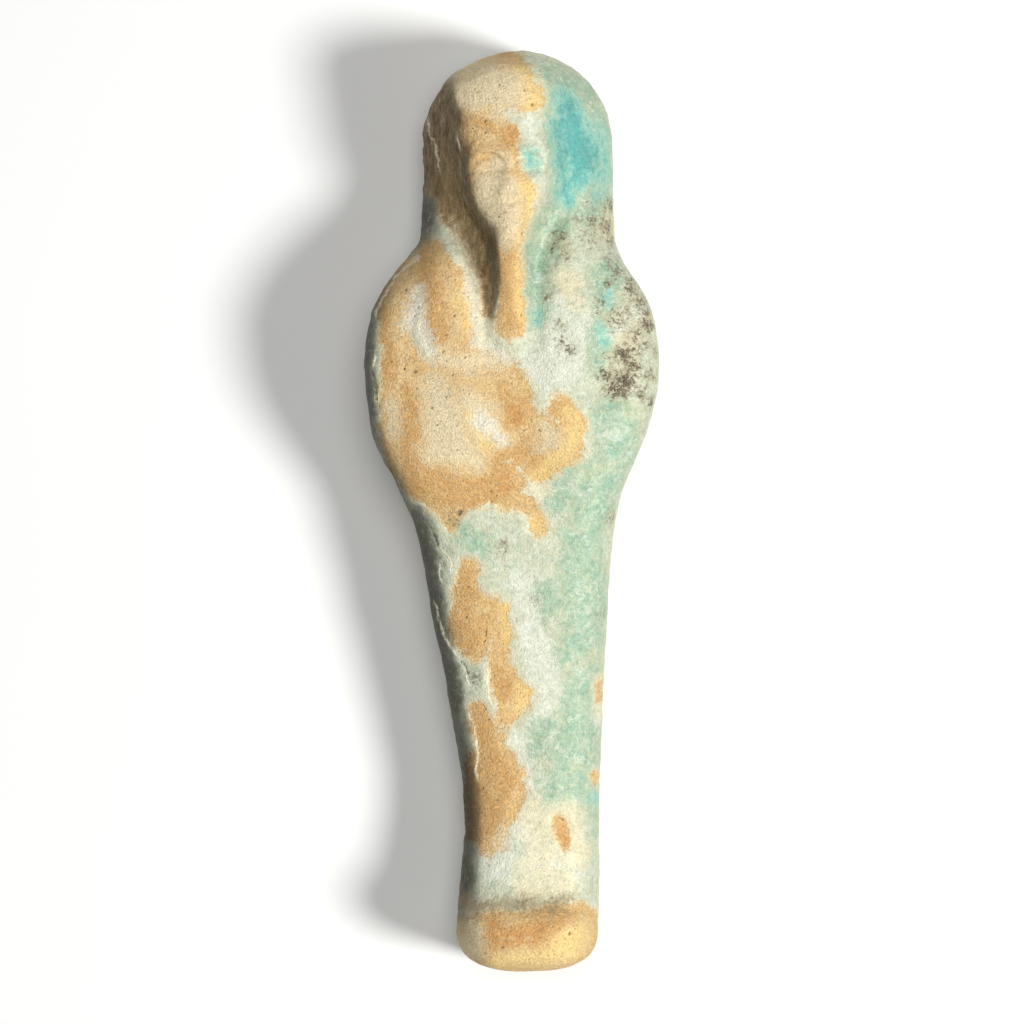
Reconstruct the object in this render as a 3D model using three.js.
// A small moulded ushabti: a mummy-shaped figure of glazed composition, pressed in an open
// mould, so that it is one solid piece with a flat back. It lies on that back.
// Millimetres. X runs across the figure, Y from its sole to its crown, and Z up out of its
// front. The origin is the middle of its outline, on the surface that it lies on.
import * as THREE from "three";

// Driving dimensions
const HEIGHT = 80; // sole to crown
const SHOULDER_WIDTH = 25.8; // across the upper arms
const CHEST_DEPTH = 13.6; // flat back to the front of the chest

// Every other measure is a proportion of the figure. "up" is a share of HEIGHT, from the sole.
// "across" and every radius are shares of HALF_WIDTH, positive towards the figure's left arm.
// "depth" and every rise are shares of CHEST_DEPTH.
const HALF_WIDTH = SHOULDER_WIDTH / 2;

// The outline and side profile. Each station gives the middle of the body, its half width and
// its depth there, and how square its cross-section is (2 is an ellipse).
const STATIONS = [
  { name: "toes", up: 0.045, across: 0.103, half: 0.491, depth: 0.915, square: 3.2 },
  { name: "instep", up: 0.062, across: 0.109, half: 0.487, depth: 0.885, square: 3.3 },
  { name: "heel", up: 0.088, across: 0.118, half: 0.483, depth: 0.755, square: 3.4 },
  { name: "ankle", up: 0.145, across: 0.136, half: 0.464, depth: 0.71, square: 3.5 },
  { name: "shin", up: 0.21, across: 0.128, half: 0.479, depth: 0.72, square: 3.6 },
  { name: "knee", up: 0.316, across: 0.084, half: 0.543, depth: 0.765, square: 3.8 },
  { name: "thigh", up: 0.433, across: 0.034, half: 0.634, depth: 0.82, square: 4.1 },
  { name: "waist", up: 0.49, across: 0.021, half: 0.694, depth: 0.86, square: 4.6 },
  { name: "forearm", up: 0.525, across: -0.007, half: 0.769, depth: 0.92, square: 5.2 },
  { name: "elbow", up: 0.577, across: -0.02, half: 0.918, depth: 0.975, square: 6 },
  { name: "upper_arm", up: 0.616, across: -0.004, half: 0.975, depth: 0.995, square: 6.6 },
  { name: "armpit", up: 0.655, across: 0, half: 1, depth: 1, square: 6.6 },
  { name: "breast", up: 0.694, across: 0, half: 0.978, depth: 0.98, square: 6 },
  { name: "shoulder", up: 0.733, across: 0.005, half: 0.905, depth: 0.95, square: 4.8 },
  { name: "shoulder_top", up: 0.766, across: 0.009, half: 0.769, depth: 0.925, square: 3.5 },
  { name: "neck", up: 0.79, across: 0.036, half: 0.68, depth: 0.915, square: 2.7 },
  { name: "jaw", up: 0.825, across: 0.041, half: 0.659, depth: 0.91, square: 2.2 },
  { name: "temple", up: 0.905, across: 0.036, half: 0.653, depth: 0.925, square: 2 },
];
const WIDEST_AT = 0.34; // the body is widest at this share of its local depth

// The carving fades out towards the sides of the body, as a superellipse of this squareness.
const CARVING_SQUARE = 4;

// The back is flat between rounded edges.
const BACK_SQUARE = 5;
const BACK_OVERSHOOT = 1.08; // how far past the flat its curve would run

// The domed ends. "pole" is where the dome closes, as a share of the depth. The larger a
// squareness, the flatter the end and the tighter its edge.
const SOLE = { pole: 0.45, outline: 2.5, front: 3, back: 4 };
const CROWN = { pole: 0.5, outline: 2, front: 2.1, back: 3.5 };

// The worn face, a smooth oval that narrows to the chin. Its features are shares of its own
// half width and half height, placed by thirds: hairline, brow, base of the nose, chin. It
// stands at its own level above the back, and slopes to the wig more gently at its right
// temple and on all its left side.
const FACE = { across: -0.02, up: 0.857, half: 0.325, tall: 0.071, level: 1.08, round: 0.045 };
const FACE_EDGE = { right: 0.28, temple: 0.9, left: 0.5 };
const FACE_SQUARE = 2.4;
const JAW_TAPER = 0.24; // how much narrower the chin is than the cheeks
const BROW_AT = 1 / 3;
const NOSE_BASE_AT = -1 / 3;
const EYE = { across: 0.43, up: 0.15, wide: 0.26, tall: 0.12, rise: -0.044 };
const MOUTH = { across: 0, up: -0.56, wide: 0.34, tall: 0.1, rise: 0.03 };
const CHIN = { across: 0, up: -0.86, wide: 0.34, tall: 0.15, rise: 0.026 };
const CHEEK = { across: 0.5, up: -0.14, wide: 0.3, tall: 0.24, rise: 0.016 };
const BROW = { across: 0, up: BROW_AT, wide: 0.7, tall: 0.11, rise: 0.026 };
const NOSE = { bridge: 0.13, base: 0.21, under: 0.12, rise: 0.07 };

// The wig: a fringe over the brow, hair that is left at the right temple, and two lappets that
// come forward over the shoulders. "drop" is how far the hair sinks towards the crown, and
// "edge" how soft its edge is.
const FRINGE = {
  across: -0.08,
  up: 0.945,
  half: 0.42,
  tall: 0.044,
  level: 1.09,
  round: 0.09,
  drop: 0.1,
  edge: 0.5,
};
const TEMPLE = {
  across: -0.22,
  up: 0.908,
  half: 0.2,
  tall: 0.042,
  level: 1.03,
  round: 0.06,
  drop: 0,
  edge: 0.7,
};
const HAIR_BLEND = 0.06; // the difference in rise over which hair and face run together
const LAPPETS = [
  [
    { across: -0.45, up: 0.79, radius: 0.15, rise: 0.02 },
    { across: -0.4, up: 0.745, radius: 0.18, rise: 0.05 },
    { across: -0.385, up: 0.69, radius: 0.19, rise: 0.035 },
  ],
  [
    { across: 0.5, up: 0.79, radius: 0.2, rise: 0.008 },
    { across: 0.42, up: 0.745, radius: 0.22, rise: 0.028 },
    { across: 0.38, up: 0.67, radius: 0.22, rise: 0.028 },
  ],
];
const LAPPET_EDGE = 0.18;

// The false beard hangs from the chin. It widens a little and sinks to its rounded end.
const BEARD = [
  { across: -0.02, up: 0.8, radius: 0.13, rise: 0.13 },
  { across: -0.015, up: 0.75, radius: 0.12, rise: 0.1 },
  { across: -0.015, up: 0.695, radius: 0.13, rise: 0.06 },
];
const BEARD_EDGE = 0.075;

// Grooves part the face and beard from the wig. They are deeper on the figure's right.
const GROOVES = [
  [
    { across: -0.42, up: 0.88, radius: 0.1, rise: 0 },
    { across: -0.4, up: 0.84, radius: 0.14, rise: -0.05 },
    { across: -0.25, up: 0.792, radius: 0.13, rise: -0.12 },
    { across: -0.175, up: 0.745, radius: 0.07, rise: -0.085 },
    { across: -0.165, up: 0.7, radius: 0.06, rise: -0.015 },
  ],
  [
    { across: 0.36, up: 0.9, radius: 0.08, rise: -0.03 },
    { across: 0.355, up: 0.85, radius: 0.1, rise: -0.06 },
    { across: 0.23, up: 0.797, radius: 0.1, rise: -0.08 },
    { across: 0.155, up: 0.76, radius: 0.08, rise: -0.05 },
    { across: 0.14, up: 0.7, radius: 0.07, rise: -0.015 },
  ],
];

// Arms crossed on the chest, worn to low swellings with a fist at each end.
const FOREARMS = [
  [
    { across: -0.78, up: 0.56, radius: 0.22, rise: 0.02 },
    { across: -0.3, up: 0.575, radius: 0.22, rise: 0.03 },
    { across: 0.26, up: 0.6, radius: 0.2, rise: 0.02 },
  ],
  [
    { across: 0.78, up: 0.56, radius: 0.22, rise: 0.02 },
    { across: 0.35, up: 0.575, radius: 0.22, rise: 0.03 },
    { across: -0.22, up: 0.615, radius: 0.2, rise: 0.02 },
  ],
];
const FISTS = [
  { across: 0.33, up: 0.592, half: 0.17, tall: 0.03, rise: 0.025 },
  { across: -0.36, up: 0.607, half: 0.2, tall: 0.034, rise: 0.025 },
];

// Faces of the mesh: how many points lie across the front and the back of each section, and
// how many rows there are in each dome and in each band of the body between them.
const FRONT_STEPS = 46;
const BACK_STEPS = 9;
const EVENNESS = 0.4; // 0 crowds the points of a section at its sides, 1 spaces them evenly
const SOLE_ROWS = 8;
const CROWN_ROWS = 9;
const ROW_BANDS = [
  { to: "heel", rows: 6 },
  { to: "waist", rows: 14 },
  { to: "breast", rows: 14 },
  { to: "neck", rows: 15 },
  { to: "temple", rows: 19 },
];

const clamp01 = (t) => Math.min(1, Math.max(0, t));
const smoothstep = (t) => clamp01(t) ** 2 * (3 - 2 * clamp01(t));
const softEdge = (inside, width) => smoothstep((inside + width / 2) / width); // half way at 0
const roundOff = (t, square) => (1 - Math.min(1, Math.abs(t)) ** square) ** (1 / square);

// The higher of two rises, which run into each other where they are less than "width" apart.
// Nothing is added where both are zero, so a lone rise stands a quarter of the width lower.
function blended(a, b, width) {
  const share = clamp01((1 + (a - b) / width) / 2);
  const fillet = share * (1 - share) - 1 / 4;
  return b + (a - b) * share + width * fillet;
}

// The slope of a station's measure, from the stations on either side. It is level at the ends.
function slopeAt(index, key) {
  if (index === 0 || index === STATIONS.length - 1) return 0;
  const [before, after] = [STATIONS[index - 1], STATIONS[index + 1]];
  return (after[key] - before[key]) / (after.up - before.up);
}

// A measure of the body at a height, on a smooth curve through the stations.
function measure(key, up) {
  const last = STATIONS.length - 1;
  if (up <= STATIONS[0].up) return STATIONS[0][key];
  if (up >= STATIONS[last].up) return STATIONS[last][key];
  const index = STATIONS.findIndex((station) => station.up > up) - 1;
  const [from, to] = [STATIONS[index], STATIONS[index + 1]];
  const span = to.up - from.up;
  const t = (up - from.up) / span;
  return (
    from[key] * (1 + 2 * t) * (1 - t) ** 2 +
    to[key] * (3 - 2 * t) * t ** 2 +
    slopeAt(index, key) * span * t * (1 - t) ** 2 +
    slopeAt(index + 1, key) * span * (t - 1) * t ** 2
  );
}

// The nearest place on a path: how far away it is, in millimetres, and the path's radius and
// rise there.
function nearest(path, x, y) {
  const here = new THREE.Vector2(x, y);
  const points = path.map(({ across, up }) => new THREE.Vector2(across * HALF_WIDTH, up * HEIGHT));
  let best = { distance: Infinity };
  for (let i = 1; i < path.length; i++) {
    const along = points[i].clone().sub(points[i - 1]);
    const share = clamp01(here.clone().sub(points[i - 1]).dot(along) / along.lengthSq());
    const distance = here.distanceTo(points[i - 1].clone().addScaledVector(along, share));
    const between = (key) => path[i - 1][key] * (1 - share) + path[i][key] * share;
    if (distance < best.distance) {
      best = { distance, radius: between("radius") * HALF_WIDTH, rise: between("rise") };
    }
  }
  return best;
}

// A raised band that follows a path: full within its radius, less the soft edge.
function band(path, edge, x, y) {
  const { distance, radius, rise } = nearest(path, x, y);
  return rise * softEdge(radius - distance, edge * HALF_WIDTH);
}

// A groove, or a swelling with no flat top, that follows a path.
function ridge(path, x, y) {
  const { distance, radius, rise } = nearest(path, x, y);
  return rise * Math.exp(-((distance / radius) ** 2));
}

// Where a point lies in an oval: 0 in its middle, 1 on its edge, along each of its two axes.
function placeIn(shape, x, y) {
  const dx = (x - shape.across * HALF_WIDTH) / (shape.half * HALF_WIDTH);
  const dy = (y - shape.up * HEIGHT) / (shape.tall * HEIGHT);
  return { dx, dy };
}

// A soft round swelling or hollow that fades out past its radii.
function swelling({ across, up, wide, tall, rise }, dx, dy) {
  return rise * Math.exp(-(((dx - across) / wide) ** 2 + ((dy - up) / tall) ** 2));
}

// The nose widens and rises from the brow to its base, and ends there.
function nose(dx, dy) {
  const down = (BROW_AT - dy) / (BROW_AT - NOSE_BASE_AT);
  if (down < 0) return 0;
  const wide = NOSE.bridge + (NOSE.base - NOSE.bridge) * clamp01(down);
  const end = softEdge(dy - NOSE_BASE_AT, NOSE.under);
  return NOSE.rise * clamp01(down) * end * Math.exp(-((dx / wide) ** 2));
}

// The face, as a rise above the plain body. "base" is how high that stands, and both are shares
// of CHEST_DEPTH.
function face(x, y, base) {
  const { dx, dy } = placeIn(FACE, x, y);
  const taper = 1 - JAW_TAPER * smoothstep(-dy);
  const out = (Math.abs(dx / taper) ** FACE_SQUARE + Math.abs(dy) ** FACE_SQUARE) ** (1 / FACE_SQUARE);
  const level = FACE.level - FACE.round * dx ** 2;
  const right = FACE_EDGE.right + (FACE_EDGE.temple - FACE_EDGE.right) * smoothstep(dy);
  const inside = softEdge(1 - out, dx < 0 ? right : FACE_EDGE.left);
  const paired = [EYE, CHEEK].reduce((sum, shape) => sum + swelling(shape, Math.abs(dx), dy), 0);
  const single = [BROW, MOUTH, CHIN].reduce((sum, shape) => sum + swelling(shape, dx, dy), 0);
  return inside * Math.max(0, level - base) + paired + single + nose(dx, dy);
}

// Hair with its own level, as a rise above the plain body.
function hair(shape, x, y, base) {
  const { dx, dy } = placeIn(shape, x, y);
  const level = shape.level - shape.round * dx ** 2 - shape.drop * Math.max(0, dy) ** 2;
  return softEdge(1 - Math.hypot(dx, dy), shape.edge) * Math.max(0, level - base);
}

// All the carving at a point of the front, as a rise above the plain body.
function carving(x, y, base) {
  const beard = band(BEARD, BEARD_EDGE, x, y);
  const lappets = Math.max(...LAPPETS.map((lappet) => band(lappet, LAPPET_EDGE, x, y)));
  const grooves = Math.min(...GROOVES.map((groove) => ridge(groove, x, y)));
  const fists = FISTS.reduce((sum, fist) => {
    const { dx, dy } = placeIn(fist, x, y);
    return sum + fist.rise * Math.exp(-(dx ** 2 + dy ** 2));
  }, 0);
  const arms = Math.max(...FOREARMS.map((forearm) => ridge(forearm, x, y))) + fists;
  const head = [FRINGE, TEMPLE].reduce(
    (sum, shape) => blended(sum, hair(shape, x, y, base), HAIR_BLEND),
    face(x, y, base),
  );
  return Math.max(head, beard, lappets) + grooves + arms;
}

// How far across a section each point lies, from -1 to 1.
function sideAt(share) {
  return EVENNESS * (2 * share - 1) + (1 - EVENNESS) * Math.sin((share - 0.5) * Math.PI);
}

// The closed outline of the body at a height. "shrink" closes it towards a pole in a dome.
function section(up, shrink) {
  const y = up * HEIGHT;
  const middle = measure("across", up) * HALF_WIDTH;
  const half = measure("half", up) * HALF_WIDTH * shrink.outline;
  const full = measure("depth", up) * CHEST_DEPTH;
  const square = measure("square", up);
  const pole = full * shrink.pole;
  const top = pole + (full - pole) * shrink.front;
  const low = pole * (1 - shrink.back);
  const widest = low + (top - low) * WIDEST_AT;
  const points = [];
  for (let i = 0; i <= FRONT_STEPS; i++) {
    const side = sideAt(i / FRONT_STEPS);
    const x = middle + half * side;
    const plain = widest + (top - widest) * roundOff(side, square);
    const fade = roundOff(side, CARVING_SQUARE) * shrink.front;
    points.push([x, y, plain + carving(x, y, plain / CHEST_DEPTH) * fade * CHEST_DEPTH]);
  }
  for (let i = 1; i < BACK_STEPS; i++) {
    const side = -sideAt(i / BACK_STEPS);
    const drop = (widest - low) * BACK_OVERSHOOT * roundOff(side, BACK_SQUARE);
    points.push([middle + half * side, y, Math.max(low, widest - drop)]);
  }
  return points;
}

const UNSHRUNK = { outline: 1, front: 1, back: 1, pole: 0.5 };

// How much a dome closes at a share of the way to its pole.
function closing(dome, share) {
  return {
    outline: roundOff(share, dome.outline),
    front: roundOff(share, dome.front),
    back: roundOff(share, dome.back),
    pole: dome.pole,
  };
}

// All sections from the sole to the crown, without the two poles.
function sections() {
  const first = STATIONS[0].up;
  const last = STATIONS[STATIONS.length - 1].up;
  const rows = [];
  for (let i = SOLE_ROWS - 1; i > 0; i--) {
    const share = Math.sin((i / SOLE_ROWS) * (Math.PI / 2));
    rows.push(section(first * (1 - share), closing(SOLE, share)));
  }
  let from = first;
  rows.push(section(from, UNSHRUNK));
  for (const { to, rows: count } of ROW_BANDS) {
    const end = STATIONS.find((station) => station.name === to).up;
    for (let i = 1; i <= count; i++) rows.push(section(from + ((end - from) * i) / count, UNSHRUNK));
    from = end;
  }
  for (let i = 1; i < CROWN_ROWS; i++) {
    const share = Math.sin((i / CROWN_ROWS) * (Math.PI / 2));
    rows.push(section(last + (1 - last) * share, closing(CROWN, share)));
  }
  return rows;
}

// The point where a dome closes.
function poleOf(dome, station, up) {
  return [station.across * HALF_WIDTH, up * HEIGHT, station.depth * CHEST_DEPTH * dome.pole];
}

function figureGeometry() {
  const rows = sections();
  const around = rows[0].length;
  const positions = rows.flat(2);
  const faces = [];
  for (let row = 0; row + 1 < rows.length; row++) {
    for (let i = 0; i < around; i++) {
      const next = (i + 1) % around;
      const [a, b] = [row * around + i, row * around + next];
      faces.push(a, b, a + around, b, b + around, a + around);
    }
  }
  const sole = positions.length / 3;
  const crown = sole + 1;
  positions.push(...poleOf(SOLE, STATIONS[0], 0), ...poleOf(CROWN, STATIONS.at(-1), 1));
  const top = (rows.length - 1) * around;
  for (let i = 0; i < around; i++) {
    const next = (i + 1) % around;
    faces.push(sole, next, i, crown, top + i, top + next);
  }
  const geometry = new THREE.BufferGeometry();
  geometry.setAttribute("position", new THREE.Float32BufferAttribute(positions, 3));
  geometry.setIndex(faces);
  geometry.computeBoundingBox();
  const middle = geometry.boundingBox.getCenter(new THREE.Vector3());
  geometry.translate(-middle.x, -middle.y, -geometry.boundingBox.min.z);
  geometry.computeVertexNormals();
  return geometry;
}

// Glazed composition: pale blue-green glaze, worn through to a sandy ochre body.
const composition = new THREE.MeshStandardMaterial({
  color: 0xcfc9a8,
  roughness: 0.62,
  metalness: 0,
});

const ushabti = new THREE.Group();
const figurine = new THREE.Mesh(figureGeometry(), composition);
figurine.name = "ushabti_figurine";
ushabti.add(figurine);

export default ushabti;
